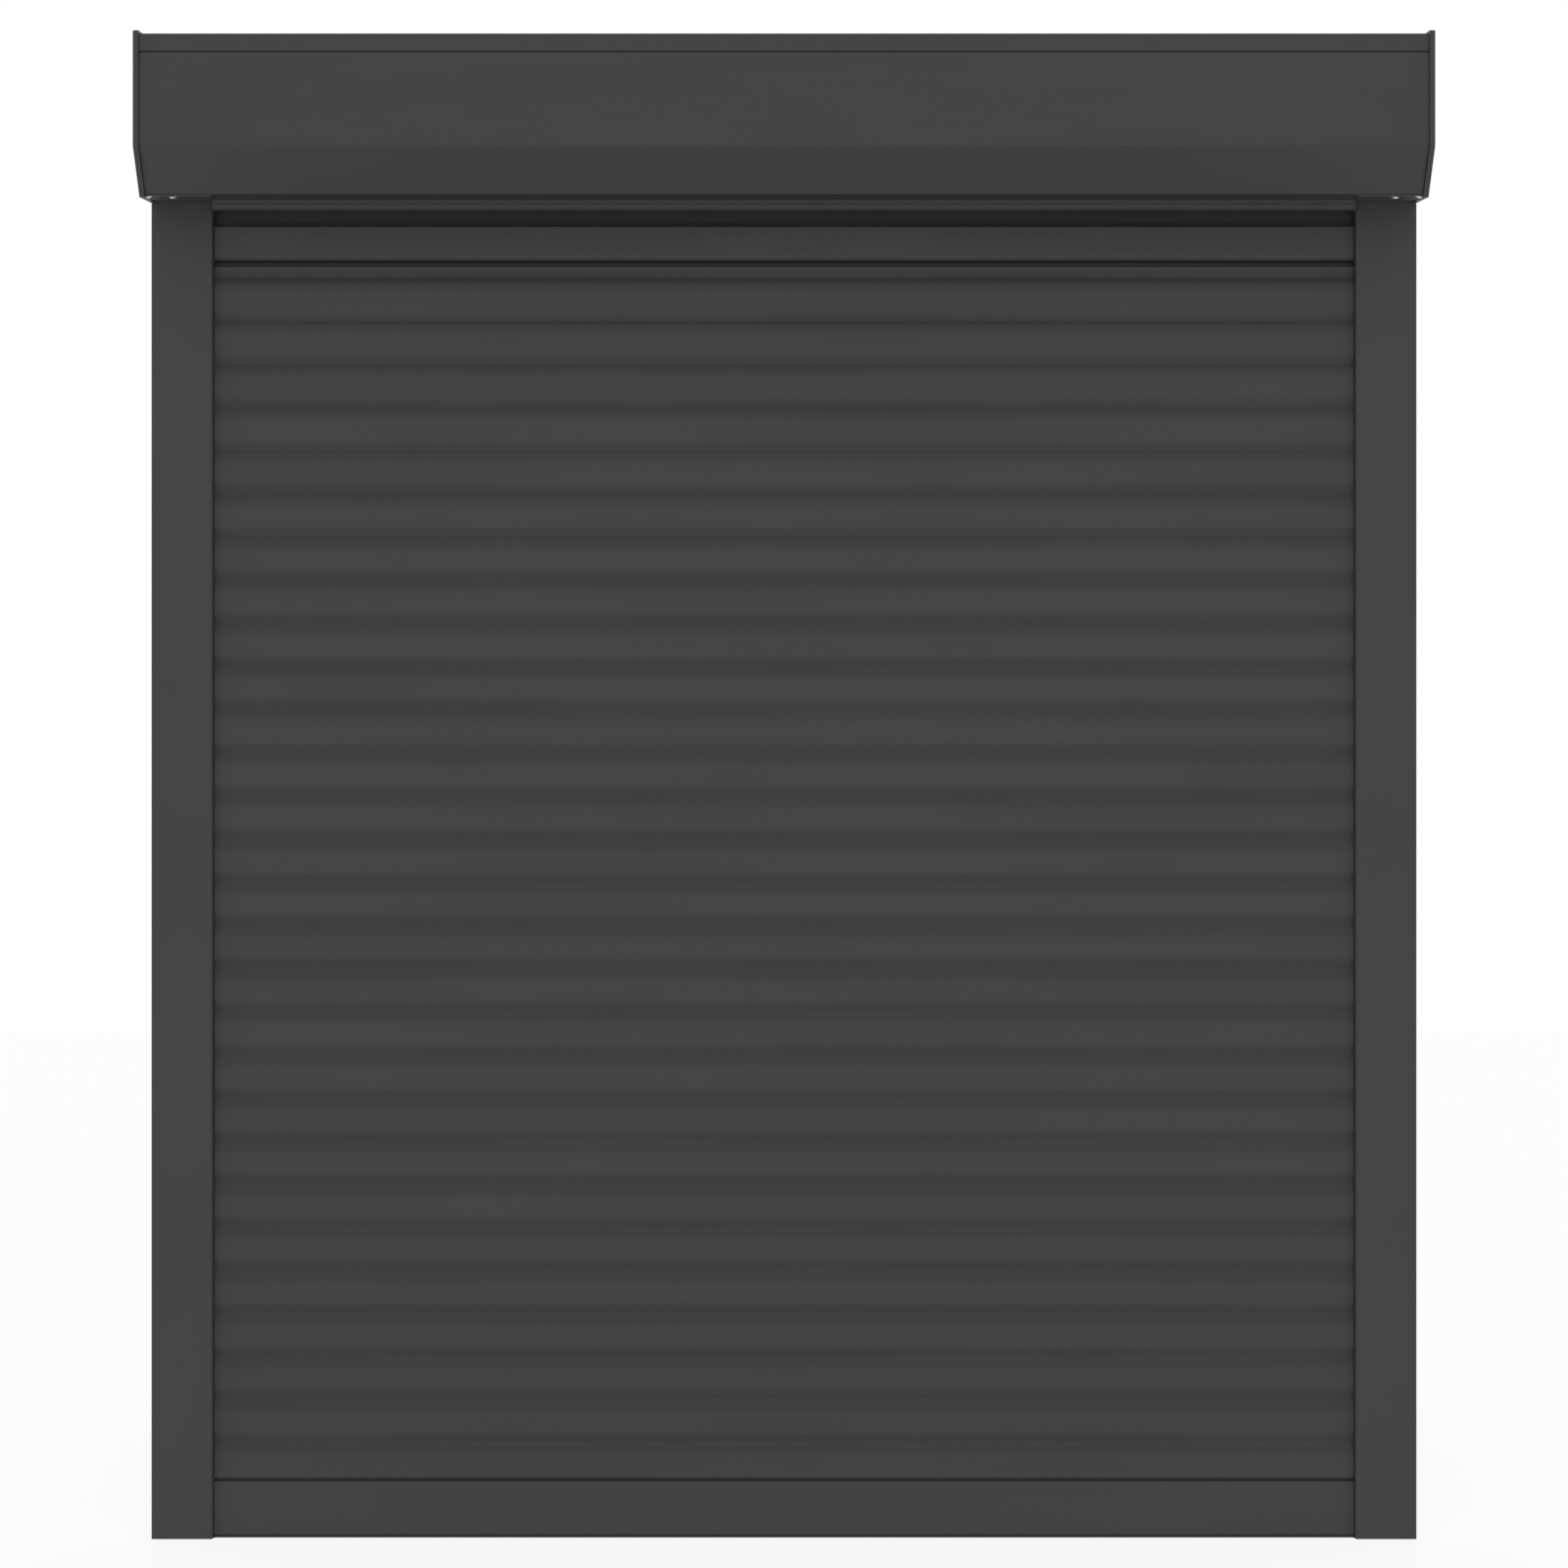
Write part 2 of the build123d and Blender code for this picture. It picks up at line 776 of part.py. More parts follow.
def winding_tube():
    """Eight-sided steel tube with a slot for each strap."""
    tube = across(octagon(tube_flats) - octagon(tube_bore_flats), -tube_end, tube_end)
    for x in strap_centres():
        slot_z = shaft_z + strap_upper + strap_slot_height / 2
        tube -= block(
            (x - strap_width / 2 - strap_gap, x + strap_width / 2 + strap_gap),
            (tube_flats / 2 - tube_wall - overrun, tube_flats / 2 + overrun),
            (slot_z - strap_slot_height / 2, slot_z + strap_slot_height / 2),
        )
    return tube


def hanger_straps():
    """Spring-steel straps from the back of the tube down to the hanger profile's web."""
    tube_face = tube_flats / 2 + strap_gap
    web_face = curtain_y + half_depth - hanger_web - strap_gap
    web_top = top_slat_z + socket_ceiling + hanger_wall + hanger_gap + hanger_body_height
    web_top += hanger_tail
    path = FilletPolyline(
        (tube_face, shaft_z + strap_upper),
        (tube_face, shaft_z - strap_slack),
        (web_face - strap_thickness, web_top + strap_grip),
        (web_face - strap_thickness, web_top - strap_grip),
        radius=strap_bend,
    )
    section = bent_sheet(path, strap_thickness, Side.LEFT)
    strap = across(section, -strap_width / 2, strap_width / 2)
    return Compound(children=[Pos(x, 0, 0) * strap for x in strap_centres()])


def motor_places():
    """Where the motor's flange, body and output end lie along X."""
    flange = (tube_end + wheel_gap, tube_end + wheel_gap + motor_flange)
    body = (flange[0] - motor_length, flange[0])
    head = (flange[1], flange[1] + motor_head_length)
    return flange, body, head


def tubular_motor():
    """Motor body inside the tube, its flange and head, and the square that holds it still."""
    flange, body, head = motor_places()
    motor = rod(body, motor_diameter / 2) + rod(flange, motor_flange_diameter / 2)
    motor += rod(head, motor_head_diameter / 2)
    half = output_square / 2
    motor += block((head[1], plate_x), (-half, half), (shaft_z - half, shaft_z + half))
    bore = (body[0] - overrun, body[0] + output_bore)
    return motor - rod(bore, output_diameter / 2 + running_clearance)


def motor_crown():
    """Ring that turns with the tube round the motor's body."""
    flange, body, head = motor_places()
    x_to = tube_end - crown_place
    ring = across(octagon(insert_flats), x_to - crown_length, x_to)
    span = (x_to - crown_length - overrun, x_to + overrun)
    return ring - rod(span, motor_diameter / 2 + running_clearance)


def motor_output():
    """Output shaft: round in the motor, square in the drive wheel."""
    flange, body, head = motor_places()
    half = output_square / 2
    wheel_from = body[0] - wheel_gap - drive_wheel_length
    shaft = rod((body[0] - wheel_gap, body[0] + output_bore - wheel_gap), output_diameter / 2)
    square_x = (wheel_from, body[0] - wheel_gap)
    return shaft + block(square_x, (-half, half), (shaft_z - half, shaft_z + half))


def drive_wheel():
    """Wheel on the output shaft that drives the tube."""
    flange, body, head = motor_places()
    x_to = body[0] - wheel_gap
    x_from = x_to - drive_wheel_length
    half = output_square / 2 + running_clearance
    square = window((-half, half), (shaft_z - half, shaft_z + half))
    return across(octagon(insert_flats) - square, x_from, x_to)


def bracket_holes(solid, x):
    """Cuts the two fixing holes of a bracket, above and below the shaft."""
    for side in (-1, 1):
        z = shaft_z + side * bracket_screw_spacing / 2
        solid -= rod(x, bracket_screw_diameter / 2 + screw_clearance, 0, z)
    return solid


def bracket_plate_face():
    """Square plate with rounded corners, drawn as (y, z)."""
    return Pos(0, shaft_z) * RectangleRounded(bracket_side, bracket_side, bracket_corner)


def motor_bracket():
    """Steel plate on the right end cap with a square socket for the motor's head."""
    flange, body, head = motor_places()
    x_from = plate_x - bracket_plate
    bracket = across(bracket_plate_face(), x_from, plate_x)
    bracket += rod((head[1] + wheel_gap, x_from), bracket_boss / 2)
    half = output_square / 2 + running_clearance
    bracket -= block(
        (head[1], plate_x + overrun), (-half, half), (shaft_z - half, shaft_z + half)
    )
    return bracket_holes(bracket, (x_from - overrun, plate_x + overrun))


def idler_capsule():
    """Plug in the left end of the tube, with a flange outside it."""
    plug = across(octagon(insert_flats), -tube_end, -tube_end + idler_length)
    plug += rod((-tube_end - idler_flange, -tube_end), idler_flange_diameter / 2)
    bore = (-tube_end - idler_flange - overrun, -tube_end + idler_bore_depth)
    return plug - rod(bore, pin_diameter / 2 + running_clearance)


def bearing_places():
    """Where the bearing and its holder lie along X, on the left end cap."""
    plate = (-plate_x, -plate_x + holder_plate)
    ring = (plate[1], plate[1] + bearing_width)
    return plate, ring


def idler_pin():
    """Pin from the capsule into the bearing."""
    plate, ring = bearing_places()
    inside = -tube_end + idler_bore_depth - wheel_gap
    return rod((ring[0] + wheel_gap, inside), pin_diameter / 2)


def bearing_radii():
    """Radii of the sealed bearing: its bore, the outside of its inner ring and its outside."""
    bore = pin_diameter / 2 + running_clearance
    return bore, bore + bearing_ring, bearing_outside / 2


def bearing_inner_ring():
    """Inner ring, on the pin."""
    plate, ring = bearing_places()
    bore, inner_race, outside = bearing_radii()
    cut = (ring[0] - overrun, ring[1] + overrun)
    return rod(ring, inner_race) - rod(cut, bore)


def bearing_outer_ring():
    """Outer ring with the shields that close in the balls."""
    plate, ring = bearing_places()
    bore, inner_race, outside = bearing_radii()
    cut = (ring[0] - overrun, ring[1] + overrun)
    return rod(ring, outside) - rod(cut, inner_race + bearing_gap)


def bearing_holder():
    """Plastic plate on the left end cap with a cup for the bearing."""
    plate, ring = bearing_places()
    outside = bearing_outside / 2 + running_clearance
    holder = across(bracket_plate_face(), *plate) + rod(ring, outside + holder_wall)
    holder -= rod((ring[0], ring[1] + overrun), outside)
    return bracket_holes(holder, (plate[0] - overrun, plate[1] + overrun))


def bracket_screws():
    """Two hexagon screws for each bracket, heads towards the middle of the box."""
    screws = []
    hexagon = RegularPolygon(bracket_screw_flats / 2, 6, major_radius=False)
    for sign, thickness in ((-1, holder_plate), (1, bracket_plate)):
        for side in (-1, 1):
            z = shaft_z + side * bracket_screw_spacing / 2
            face = sign * (plate_x - thickness)
            head = sorted((face - sign * bracket_screw_head_height, face))
            screw = across(Pos(0, z) * hexagon, *head)
            screws.append(screw + rod((face, sign * plate_x), bracket_screw_diameter / 2, 0, z))
    return Compound(children=screws)


def mirrored(solid):
    """The left copy of a right-hand piece."""
    return mirror(solid, about=Plane.YZ)


def save(name, solid):
    """Writes one sub-part."""
    export_step(solid, f"parts/{name}.step")


os.makedirs("parts", exist_ok=True)

for index, slat in enumerate(slats(), start=1):
    save(f"slat_{index:02d}", slat)

right_rail = guide_rail()
right_strips = rail_strips()
right_cap = end_cap()

save("hanger_profile", hanger_profile())
save("end_bar", end_bar())
save("end_bar_seal", end_bar_seal())
save("end_bar_plugs", end_bar_plugs())
save("guide_rail_right", right_rail)
save("guide_rail_left", mirrored(right_rail))
save("rail_strips_right", Compound(children=right_strips))
save("rail_strips_left", Compound(children=[mirrored(strip) for strip in right_strips]))
save("rail_foot_plugs", rail_foot_plugs())
save("end_cap_right", right_cap)
save("end_cap_left", mirrored(right_cap))
save("box_rear_shell", box_rear_shell())
save("box_front_panel", box_front_panel())
save("box_bottom_panel", box_bottom_panel())
save("panel_screws", panel_screws())
save("inlet_guides", inlet_guides())
save("cable_grommet", cable_grommet())
save("winding_tube", winding_tube())
save("hanger_straps", hanger_straps())
save("tubular_motor", tubular_motor())
save("motor_crown", motor_crown())
save("motor_output", motor_output())
save("drive_wheel", drive_wheel())
save("motor_bracket", motor_bracket())
save("idler_capsule", idler_capsule())
save("idler_pin", idler_pin())
save("bearing_inner_ring", bearing_inner_ring())
save("bearing_outer_ring", bearing_outer_ring())
save("bearing_holder", bearing_holder())
save("bracket_screws", bracket_screws())
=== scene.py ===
"""Looks of a roller shutter: its finishes, small visible pieces, floor, light and camera."""

import json
import math

import bmesh
import bpy
from mathutils import Matrix, Vector


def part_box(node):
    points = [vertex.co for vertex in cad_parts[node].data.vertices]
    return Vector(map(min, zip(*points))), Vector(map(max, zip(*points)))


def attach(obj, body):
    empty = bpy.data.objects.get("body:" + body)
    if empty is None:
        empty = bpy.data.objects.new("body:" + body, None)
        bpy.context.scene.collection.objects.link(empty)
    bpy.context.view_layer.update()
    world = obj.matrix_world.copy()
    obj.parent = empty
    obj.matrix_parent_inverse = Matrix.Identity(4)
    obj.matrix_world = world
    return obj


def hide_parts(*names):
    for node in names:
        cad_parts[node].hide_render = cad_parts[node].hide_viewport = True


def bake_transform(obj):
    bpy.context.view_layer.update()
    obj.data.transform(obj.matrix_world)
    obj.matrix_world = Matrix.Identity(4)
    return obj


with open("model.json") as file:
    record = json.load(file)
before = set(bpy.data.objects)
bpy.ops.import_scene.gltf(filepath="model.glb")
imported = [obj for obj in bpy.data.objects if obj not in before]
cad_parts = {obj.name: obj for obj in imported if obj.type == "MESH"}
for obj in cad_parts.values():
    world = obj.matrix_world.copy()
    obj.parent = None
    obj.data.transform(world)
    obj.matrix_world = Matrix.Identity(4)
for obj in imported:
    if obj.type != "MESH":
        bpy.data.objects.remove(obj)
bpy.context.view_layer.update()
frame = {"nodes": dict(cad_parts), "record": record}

# Colours, as linear values
slat_grey = (0.0437, 0.0437, 0.0437)
box_grey = (0.0405, 0.0405, 0.0405)
rail_grey = (0.0445, 0.0445, 0.0445)
rubber_black = (0.009, 0.009, 0.009)
plastic_black = (0.02, 0.02, 0.021)
stainless_grey = (0.50, 0.495, 0.48)
zinc_grey = (0.50, 0.51, 0.53)
spring_grey = (0.22, 0.22, 0.24)
steel_grey = (0.56, 0.56, 0.57)
casing_white = (0.62, 0.62, 0.60)

# Finishes: gloss of paint and of the rest, the two values of a pattern between which a colour or
# a number changes, and how many times finer the speckle of powder coat is than its peel
paint_gloss = 0.25
plain_gloss = 0.5
pattern_start = 0.3
pattern_end = 0.7
speckle_fineness = 2.5

# Painted shade in the hanger profile's recess: the share of the paint's lightness that is left there,
# and the shares of the profile's depth between which that painted shade is full and at which it ends
recess_share = 0.42
recess_full = (0.78, 0.88)
recess_end = 0.92

# Painted shade beside the seams between slats: the share of the paint's lightness that is left at the
# seam and on each side, and the shares of the pitch between which that painted shade is full and at
# which it ends
share_at_seam = 0.93
full_near_seam = 0.06
share_above_seam = 0.83
full_above_seam = 0.15
end_above_seam = 0.21
share_below_seam = 0.77
full_below_seam = 0.17
end_below_seam = 0.34

# Camera: distance from the fronts of the rails and height above the sill in metres, lens and
# sensor in millimetres, and shift in widths of the picture
camera_distance = 4.025
camera_height = 0.891
camera_lens = 106.3
camera_shift = -0.172
sensor_width = 36.0

# Light: white and the strength at which it reads as white, the strength of the world's light, one
# soft lamp in watts and metres, and the floor's reach in metres, its paper and its glow
white = (1.0, 1.0, 1.0, 1.0)
white_strength = 1.0
world_strength = 0.94
key_power = 38.0
key_place = (0.4, -9.0, 4.9)
key_target = (0.0, 0.0, 0.7)
key_size = (5.0, 3.0)
floor_reach = 4.0
floor_paper = 0.9
floor_roughness = 0.9
floor_glow_on_object = 0.5
floor_glow_seen = 0.85

# Angle in degrees above which an edge of a piece made here is sharp
sharp_angle = 32.0

# Screws under the ends of the box, in metres: domed head, cross recess, and rings on the shank in
# place of a thread. The outer ones are turned by an angle in radians, the inner ones by a further
# angle to one side or the other.
head_radius = 0.0038
head_height = 0.0021
head_rim = 0.0003
cross_reach = 0.0021
cross_width = 0.0009
cross_depth = 0.0011
shank_radius = 0.00195
thread_pitch = 0.0013
thread_depth = 0.0004
screw_spacing = 0.0194
outer_screw_turn = 0.4
inner_screw_turn = 1.0
screw_steps = 40
dome_steps = 8

# Sill seal, in metres: ribs under its head, and the stem and foot that hold it
seal_rib_count = 4
seal_rib_height = 0.0007
seal_rib_points = 33
seal_head_height = 0.002
seal_stem_half = 0.0013
seal_foot_half = 0.0025
seal_foot_height = 0.0016

# Hanger straps, in metres: steel strip with a pressed rib along it
strap_count = 3
strap_spacing = 0.330
strap_width = 0.024
strap_thickness = 0.0008
strap_bend = 0.012
strap_gap = 0.0001
strap_slack = 0.016
strap_grip = 0.012
strap_arc_steps = 8
strap_rib_half = 0.004
strap_rib_rise = 0.0006


class Finish:
    """A material whose nodes are added one after another."""

    def __init__(self, name, metallic=0.0, gloss=plain_gloss):
        self.material = bpy.data.materials.new(name)
        self.material.use_nodes = True
        self.tree = self.material.node_tree
        self.shader = self.tree.nodes["Principled BSDF"]
        self.shader.inputs["Metallic"].default_value = metallic
        self.shader.inputs["Specular IOR Level"].default_value = gloss
        self.place = self.node("ShaderNodeTexCoord").outputs["Object"]

    def node(self, kind, **settings):
        """Adds a node and sets its properties."""
        made = self.tree.nodes.new(kind)
        for name, value in settings.items():
            setattr(made, name, value)
        return made

    def link(self, source, target):
        """Joins an output to an input."""
        self.tree.links.new(source, target)

    def stretched(self, scale):
        """Object coordinates, scaled differently along each axis."""
        mapping = self.node("ShaderNodeMapping")
        mapping.inputs["Scale"].default_value = scale
        self.link(self.place, mapping.inputs["Vector"])
        return mapping.outputs["Vector"]

    def noise(self, scale, detail=3.0, stretch=None):
        """Cloudy pattern, with a scale in waves a metre."""
        made = self.node("ShaderNodeTexNoise")
        made.inputs["Scale"].default_value = scale
        made.inputs["Detail"].default_value = detail
        source = self.stretched(stretch) if stretch else self.place
        self.link(source, made.inputs["Vector"])
        return made.outputs["Fac"]

    def cells(self, scale):
        """Pattern of cells, each with a value of its own."""
        made = self.node("ShaderNodeTexVoronoi")
        made.inputs["Scale"].default_value = scale
        self.link(self.place, made.inputs["Vector"])
        return made.outputs["Color"]

    def along(self, axis):
        """How far along an axis of the object a point lies."""
        made = self.node("ShaderNodeSeparateXYZ")
        self.link(self.place, made.inputs["Vector"])
        return made.outputs[axis]

    def ranged(self, value, low, high, start=pattern_start, end=pattern_end):
        """A number that runs from low to high as a value goes from start to end."""
        made = self.node("ShaderNodeMapRange")
        made.inputs["From Min"].default_value = start
        made.inputs["From Max"].default_value = end
        made.inputs["To Min"].default_value = low
        made.inputs["To Max"].default_value = high
        self.link(value, made.inputs["Value"])
        return made.outputs["Result"]

    def repeated(self, value, first, last, period):
        """Share of a period that a value has run through, held half a period past first and last."""
        held = self.node("ShaderNodeClamp")
        held.inputs["Min"].default_value = first - period / 2
        held.inputs["Max"].default_value = last + period / 2
        self.link(value, held.inputs["Value"])
        made = self.node("ShaderNodeMath", operation="WRAP")
        made.inputs[1].default_value = first + period
        made.inputs[2].default_value = first
        self.link(held.outputs["Result"], made.inputs[0])
        return self.ranged(made.outputs["Value"], 0.0, 1.0, first, first + period)

    def tinted(self, colour, pattern, low, high):
        """A colour that runs between two shares of its lightness as a pattern rises."""
        made = self.node("ShaderNodeValToRGB")
        stops = ((pattern_start, low), (pattern_end, high))
        for element, (position, share) in zip(made.color_ramp.elements, stops):
            element.position = position
            element.color = (*(channel * share for channel in colour), 1.0)
        self.link(pattern, made.inputs["Fac"])
        return made.outputs["Color"]

    def shaded(self, colour, value, stops):
        """A colour, darkened with painted shade to the shares that a row of (position, share) stops
        gives.
        """
        shades = self.node("ShaderNodeValToRGB")
        elements = shades.color_ramp.elements
        for position, _ in stops[2:]:
            elements.new(position)
        for element, (position, share) in zip(elements, stops):
            element.position = position
            element.color = (share, share, share, 1.0)
        self.link(value, shades.inputs["Fac"])
        made = self.node("ShaderNodeVectorMath", operation="MULTIPLY")
        self.link(colour, made.inputs[0])
        self.link(shades.outputs["Color"], made.inputs[1])
        return made.outputs["Vector"]

    def painted_recess_shade(self, colour, front, back):
        """A colour darkened with painted shade towards the back of a recess, between two depths."""
        full_from, full_to = recess_full
        depth = self.ranged(self.along("Y"), 0.0, 1.0, front, back)
        stops = [(0.0, 1.0), (full_from, recess_share), (full_to, recess_share), (recess_end, 1.0)]
        return self.shaded(colour, depth, stops)

    def painted_seam_shade(self, colour, first, last, pitch):
        """A colour darkened a little with painted shade beside each seam, from the first to the last.
        """
        stops = [
            (0.0, share_at_seam),
            (full_near_seam, share_above_seam),
            (full_above_seam, share_above_seam),
            (end_above_seam, 1.0),
            (1.0 - end_below_seam, 1.0),
            (1.0 - full_below_seam, share_below_seam),
            (1.0 - full_near_seam, share_below_seam),
            (1.0, share_at_seam),
        ]
        return self.shaded(colour, self.repeated(self.along("Z"), first, last, pitch), stops)

    def bump(self, value, strength, distance, under=None):
        """Relief from a pattern, on top of another relief."""
        made = self.node("ShaderNodeBump")
        made.inputs["Strength"].default_value = strength
        made.inputs["Distance"].default_value = distance
        self.link(value, made.inputs["Height"])
        if under:
            self.link(under, made.inputs["Normal"])
        return made.outputs["Normal"]

    def finish(self, colour, roughness, relief):
        """Joins the patterns to the shader and returns the material."""
        self.link(colour, self.shader.inputs["Base Color"])
        self.link(roughness, self.shader.inputs["Roughness"])
        self.link(relief, self.shader.inputs["Normal"])
        return self.material


def powder_coat(name, colour, grain):
    """Matt powder coat on metal, with fine peel, finer speckle and slight clouds."""
    made = Finish(name, gloss=paint_gloss)
    clouds = made.noise(scale=7.0, detail=5.0)
    peel = made.noise(scale=grain, detail=2.0)
    speckle = made.noise(scale=grain * speckle_fineness, detail=1.0)
    paint = made.tinted(colour, clouds, low=0.96, high=1.04)
    roughness = made.ranged(speckle, low=0.42, high=0.56)
    relief = made.bump(peel, strength=0.10, distance=0.0003)
    relief = made.bump(speckle, strength=0.12, distance=0.0001, under=relief)
    return made.finish(paint, roughness, relief)


def coil_coat(name, colour, recess=None, seams=None):
    """Baked paint on a roll-formed strip: smooth, with faint lines along it.

    A recess gives the profile's two faces, front and back, between which painted shade darkens it.
    Seams give the heights of the first and last one and the distance from each to the next, and
    painted shade darkens the paint beside each of them.
    """
    made = Finish(name, gloss=paint_gloss)
    clouds = made.noise(scale=5.0, detail=4.0, stretch=(1.0, 1.0, 3.0))
    lines = made.noise(scale=900.0, detail=2.0, stretch=(0.01, 1.0, 1.0))
    peel = made.noise(scale=1400.0, detail=1.0)
    paint = made.tinted(colour, clouds, low=0.97, high=1.03)
    if recess:
        paint = made.painted_recess_shade(paint, *recess)
    if seams:
        paint = made.painted_seam_shade(paint, *seams)
    roughness = made.ranged(lines, low=0.40, high=0.50)
    relief = made.bump(lines, strength=0.05, distance=0.0002)
    relief = made.bump(peel, strength=0.06, distance=0.0001, under=relief)
    return made.finish(paint, roughness, relief)


def rubber(name):
    """Black rubber with a dull bloom."""
    made = Finish(name)
    bloom = made.noise(scale=60.0, detail=5.0)
    pores = made.noise(scale=2500.0, detail=2.0)
    tone = made.tinted(rubber_black, bloom, low=1.0, high=1.8)
    roughness = made.ranged(bloom, low=0.62, high=0.82)
    return made.finish(tone, roughness, made.bump(pores, strength=0.2, distance=0.0001))


def moulded_plastic(name, colour):
    """Moulded plastic with a fine spark-eroded grain."""
    made = Finish(name)
    grain = made.noise(scale=1800.0, detail=3.0)
    clouds = made.noise(scale=30.0)
    tone = made.tinted(colour, clouds, low=0.9, high=1.15)
    roughness = made.ranged(grain, low=0.38, high=0.55)
    return made.finish(tone, roughness, made.bump(grain, strength=0.2, distance=0.0001))


def turned_metal(name, colour, smoothest, roughest):
    """Bright metal with fine tool marks across the shaft."""
    made = Finish(name, metallic=1.0)
    marks = made.noise(scale=3000.0, detail=2.0, stretch=(1.0, 0.05, 0.05))
    tint = made.noise(scale=40.0)
    tone = made.tinted(colour, tint, low=0.9, high=1.05)
    roughness = made.ranged(marks, low=smoothest, high=roughest)
    return made.finish(tone, roughness, made.bump(marks, strength=0.1, distance=0.0001))


def galvanised(name):
    """Zinc on steel strip, with its crystals."""
    made = Finish(name, metallic=1.0)
    crystals = made.cells(scale=140.0)
    clouds = made.noise(scale=25.0)
    tone = made.tinted(zinc_grey, crystals, low=0.8, high=1.15)
    roughness = made.ranged(crystals, low=0.32, high=0.5)
    return made.finish(tone, roughness, made.bump(clouds, strength=0.05, distance=0.0002))


def slat_seams():
    """Heights of the lowest and highest seam, and the distance from each seam to the next."""
    first, second, last = [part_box(node)[0].z for node in ("slat_01", "slat_02", "hanger_profile")]
    return first, last, second - first


def slot_finishes():
    """A material for each slot of the record."""
    return {
        # The slats' paint carries painted shade beside each seam.
        "slat_paint": coil_coat("slat_coil_coat_painted_shade", slat_grey, seams=slat_seams()),
        "frame_paint": coil_coat("box_coil_coat", box_grey),
        "black_rubber": rubber("seal_rubber"),
        "black_plastic": moulded_plastic("black_moulding", plastic_black),
        "stainless": turned_metal("stainless_steel", stainless_grey, smoothest=0.24, roughest=0.40),
        "galvanised": galvanised("zinc_coated_steel"),
        "spring_steel": turned_metal("blued_spring_steel", spring_grey, smoothest=0.28, roughest=0.42),
        "bright_steel": turned_metal("ground_steel", steel_grey, smoothest=0.15, roughest=0.3),
        "motor_casing": powder_coat("motor_casing_paint", casing_white, grain=900.0),
    }


def node_finishes():
    """Materials of single nodes, which differ from the rest of their slot."""
    rail = powder_coat("rail_powder_coat", rail_grey, grain=1100.0)
    cap = powder_coat("cap_powder_coat", box_grey, grain=800.0)
    low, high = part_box("hanger_profile")
    # The hanger's paint carries painted shade in its recess and beside its lowest seam.
    hanger = coil_coat("hanger_coil_coat_painted_shade", slat_grey, recess=(low.y, high.y), seams=slat_seams())
    return {
        "guide_rail_left": rail,
        "guide_rail_right": rail,
        "end_cap_left": cap,
        "end_cap_right": cap,
        "hanger_profile": hanger,
    }


def dress_nodes(by_slot, by_node):
    """Gives every node of the frame its own finish or that of its slot."""
    for part in frame["record"]["subparts"]:
        name = part["node"]
        materials = frame["nodes"][name].data.materials
        materials.clear()
        materials.append(by_node.get(name, by_slot[part["material_slot"]]))


def add_object(name, data):
    """Object of a mesh, lamp or camera, in the scene."""
    made = bpy.data.objects.new(name, data)
    bpy.context.collection.objects.link(made)
    return made


def piece(name, mesh, finishes, slot, node):
    """Object of a mesh, finished as its slot says, in place of a node."""
    made = add_object(name, mesh)
    mesh.materials.append(finishes[slot])
    mesh.shade_smooth()
    mesh.set_sharp_from_angle(angle=math.radians(sharp_angle))
    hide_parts(node)
    return made


def mesh_of(form, name):
    """Turns a bmesh of closed bodies into a mesh whose faces look outwards."""
    bmesh.ops.recalc_face_normals(form, faces=form.faces)
    mesh = bpy.data.meshes.new(name)
    form.to_mesh(mesh)
    form.free()
    return mesh


def skin(form, rings):
    """Adds faces from each ring of vertices to the next, also where one ring is a single point."""
    for near, far in zip(rings, rings[1:]):
        for step in range(len(near)):
            after = (step + 1) % len(near)
            corners = dict.fromkeys((near[step], near[after], far[after], far[step]))
            form.faces.new(list(corners))


def lathe(form, profile, steps):
    """Adds a profile of (radius, height) pairs, turned about the Z axis, to a bmesh."""
    turns = [math.tau * step / steps for step in range(steps)]
    circle = [(math.cos(turn), math.sin(turn)) for turn in turns]
    rings = []
    for radius, height in profile:
        if radius > 0:
            rings.append([form.verts.new((radius * x, radius * y, height)) for x, y in circle])
        else:
            rings.append([form.verts.new((0, 0, height))] * steps)
    skin(form, rings)


def screw_profile(length):
    """Radii and heights from the dome's lowest point to the tip of the shank."""
    dome_height = head_height - head_rim
    sphere = (head_radius**2 + dome_height**2) / (2 * dome_height)
    widest = math.asin(head_radius / sphere)
    points = []
    for step in range(dome_steps + 1):
        turn = widest * step / dome_steps
        points.append((sphere * math.sin(turn), sphere * (1 - math.cos(turn))))
    points.append((head_radius, head_height))
    core = shank_radius - thread_depth
    height = head_height
    points.append((core, height))
    while height + thread_pitch < length:
        points.append((shank_radius, height + thread_pitch / 2))
        height += thread_pitch
        points.append((core, height))
    points.append((0, length))
    return points


def cut_cross(mesh):
    """Cuts the cross recess out of a screw's dome with two crossing bars."""
    screw = add_object("screw", mesh)
    for turn in (0, math.pi / 2):
        # The cube reaches one unit each way, so its scale is the bar's reach along each axis
        form = bmesh.new()
        bmesh.ops.create_cube(form, size=2)
        reach = Matrix.Diagonal((cross_reach, cross_width / 2, cross_depth, 1))
        form.transform(Matrix.Rotation(turn, 4, "Z") @ reach)
        cutter = add_object("cutter", mesh_of(form, "bar"))
        cut = screw.modifiers.new("cross", "BOOLEAN")
        cut.operation = "DIFFERENCE"
        cut.solver = "EXACT"
        cut.object = cutter
        bpy.context.view_layer.update()
        evaluated = screw.evaluated_get(bpy.context.evaluated_depsgraph_get())
        screw.data = bpy.data.meshes.new_from_object(evaluated)
        screw.modifiers.clear()
        bpy.data.objects.remove(cutter)
    cut_mesh = screw.data
    bpy.data.objects.remove(screw)
    return cut_mesh


